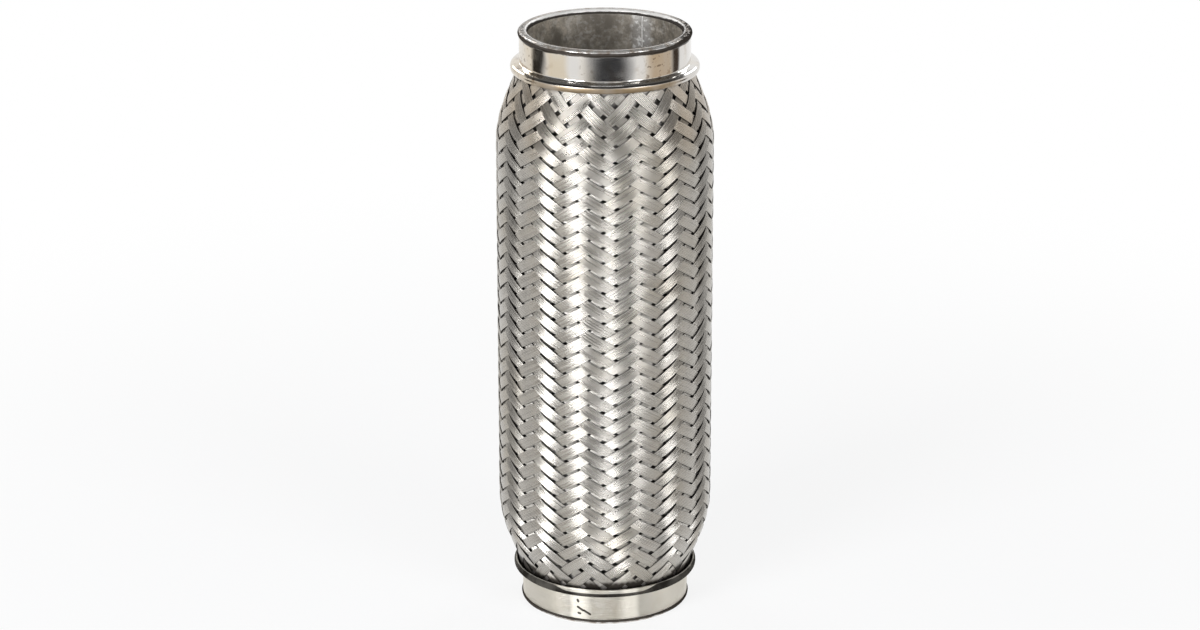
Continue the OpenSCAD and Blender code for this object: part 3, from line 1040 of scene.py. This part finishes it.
def card_finish(name, colour):
    """Card whose colour fades out towards its edges."""
    material = bpy.data.materials.new(name)
    material.use_nodes = True
    sheet = Sheet(material.node_tree)
    clear = sheet.node("ShaderNodeBsdfTransparent", inputs={"Color": WHITE})
    flat = sheet.node("ShaderNodeEmission", inputs={"Color": (*colour, 1.0), "Strength": 1.0})
    shown = sheet.node("ShaderNodeMixShader", inputs={0: sheet.attribute("cover"), 1: clear, 2: flat})
    sheet.node("ShaderNodeOutputMaterial", inputs={"Surface": shown})
    return material


def studio_card(name, azimuth, width, heights, colour, firmness):
    """A card that stands round the pipe and shows only in its polish."""
    turn = math.radians(azimuth)
    across = Vector((math.cos(turn), math.sin(turn), 0)) * width
    place = Vector((math.sin(turn), -math.cos(turn), 0)) * CARD_DISTANCE
    low, high = heights
    side = CARD_POINTS
    steps = [k / (side - 1) for k in range(side)]
    rises = [Vector((0, 0, low + (high - low) * v)) for v in steps]
    corners = [place + across * (u - 0.5) + rise for rise in rises for u in steps]
    faces = [(k, k + 1, k + side + 1, k + side) for k in range(side * (side - 1)) if k % side < side - 1]
    fades = [math.sin(math.pi * u) ** CARD_FADE for u in steps]
    covers = [min(1.0, CARD_TOP_FIRMNESS * v) * min(1.0, firmness * u) for v in fades for u in fades]
    card = mesh_piece(name, corners, faces, card_finish(name, colour))
    cover = card.data.attributes.new("cover", "FLOAT", "POINT")
    cover.data.foreach_set("value", covers)
    card.visible_camera = False
    card.visible_diffuse = False
    card.visible_shadow = False
    card.visible_transmission = False


def softbox(name, azimuth, elevation, distance, size, power):
    """An area lamp that looks at the pipe. Azimuth 0 is the camera's side."""
    turn = math.radians(azimuth)
    climb = math.radians(elevation)
    away = Vector((math.sin(turn) * math.cos(climb), -math.cos(turn) * math.cos(climb), math.sin(climb)))
    lamp = bpy.data.lights.new(name, "AREA")
    lamp.shape = "RECTANGLE"
    lamp.size, lamp.size_y = size
    lamp.energy = power
    lamp.color = LAMP_COLOUR
    holder = bpy.data.objects.new(name, lamp)
    holder.location = PIPE_MIDDLE + away * distance
    holder.rotation_mode = "QUATERNION"
    holder.rotation_quaternion = (-away).to_track_quat("-Z", "Y")
    bpy.context.scene.collection.objects.link(holder)


def photo_camera(stage):
    """The camera at the photograph's angle, framed as the photograph is."""
    back = Vector((0, -math.cos(stage.elevation), math.sin(stage.elevation)))
    lens = bpy.data.cameras.new("photo_camera")
    lens.sensor_width = FILM_WIDTH
    lens.lens = FILM_WIDTH * stage.focal / PHOTO_WIDTH
    lens.shift_x = (PHOTO_WIDTH / 2 - stage.middle_x) / PHOTO_WIDTH
    lens.shift_y = (stage.middle_y - PHOTO_HEIGHT / 2) / PHOTO_WIDTH
    lens.clip_start = 0.01
    camera = bpy.data.objects.new("photo_camera", lens)
    camera.location = PIPE_MIDDLE + back * stage.distance
    camera.rotation_mode = "QUATERNION"
    camera.rotation_quaternion = (-back).to_track_quat("-Z", "Y")
    bpy.context.scene.collection.objects.link(camera)
    bpy.context.scene.camera = camera


class FLEXPIPE_OT_stage(bpy.types.Operator):
    """Sets the floor, the light and the camera"""

    bl_idname = "flexpipe.stage"
    bl_label = "Stage"

    def execute(self, context):
        scene = context.scene
        stage = scene.flexpipe_stage
        half = FLOOR_HALF_SIDE
        corners = [(-half, -half, 0), (half, -half, 0), (half, half, 0), (-half, half, 0)]
        floor = mesh_piece("floor", corners, [(0, 1, 2, 3)], floor_finish(scene.flexpipe_finish.floor))
        scene.world = scene.world or bpy.data.worlds.new("studio")
        studio_world(scene.world)
        for *place, power in SOFTBOXES:
            softbox(*place, getattr(stage, power))
        for card in CARDS:
            studio_card(*card)
        photo_camera(stage)
        scene.view_settings.view_transform = "Standard"
        return {"FINISHED"}


OPERATORS = (
    FLEXPIPE_OT_braid,
    FLEXPIPE_OT_bellows,
    FLEXPIPE_OT_liner,
    FLEXPIPE_OT_caps,
    FLEXPIPE_OT_sleeves,
    FLEXPIPE_OT_welds,
    FLEXPIPE_OT_stage,
)


class FLEXPIPE_PT_sidebar(bpy.types.Panel):
    """Buttons that build the flex pipe"""

    bl_idname = "FLEXPIPE_PT_sidebar"
    bl_label = "Flex pipe"
    bl_space_type = "VIEW_3D"
    bl_region_type = "UI"
    bl_category = "Flex pipe"

    def draw(self, context):
        for operator in OPERATORS:
            self.layout.operator(operator.bl_idname)


SETTINGS = {
    "flexpipe_weave": WeaveSettings,
    "flexpipe_finish": FinishSettings,
    "flexpipe_stage": StageSettings,
}


def register():
    for group in SETTINGS.values():
        bpy.utils.register_class(group)
    for shown in (*OPERATORS, FLEXPIPE_PT_sidebar):
        bpy.utils.register_class(shown)
    for name, group in SETTINGS.items():
        setattr(bpy.types.Scene, name, PointerProperty(type=group))


def unregister():
    for name in SETTINGS:
        delattr(bpy.types.Scene, name)
    for shown in (FLEXPIPE_PT_sidebar, *reversed(OPERATORS)):
        bpy.utils.unregister_class(shown)
    for group in SETTINGS.values():
        bpy.utils.unregister_class(group)


def main():
    register()
    bpy.ops.flexpipe.braid()
    bpy.ops.flexpipe.bellows()
    bpy.ops.flexpipe.liner()
    bpy.ops.flexpipe.caps()
    bpy.ops.flexpipe.sleeves()
    bpy.ops.flexpipe.welds()
    bpy.ops.flexpipe.stage()


if __name__ == "__main__":
    main()
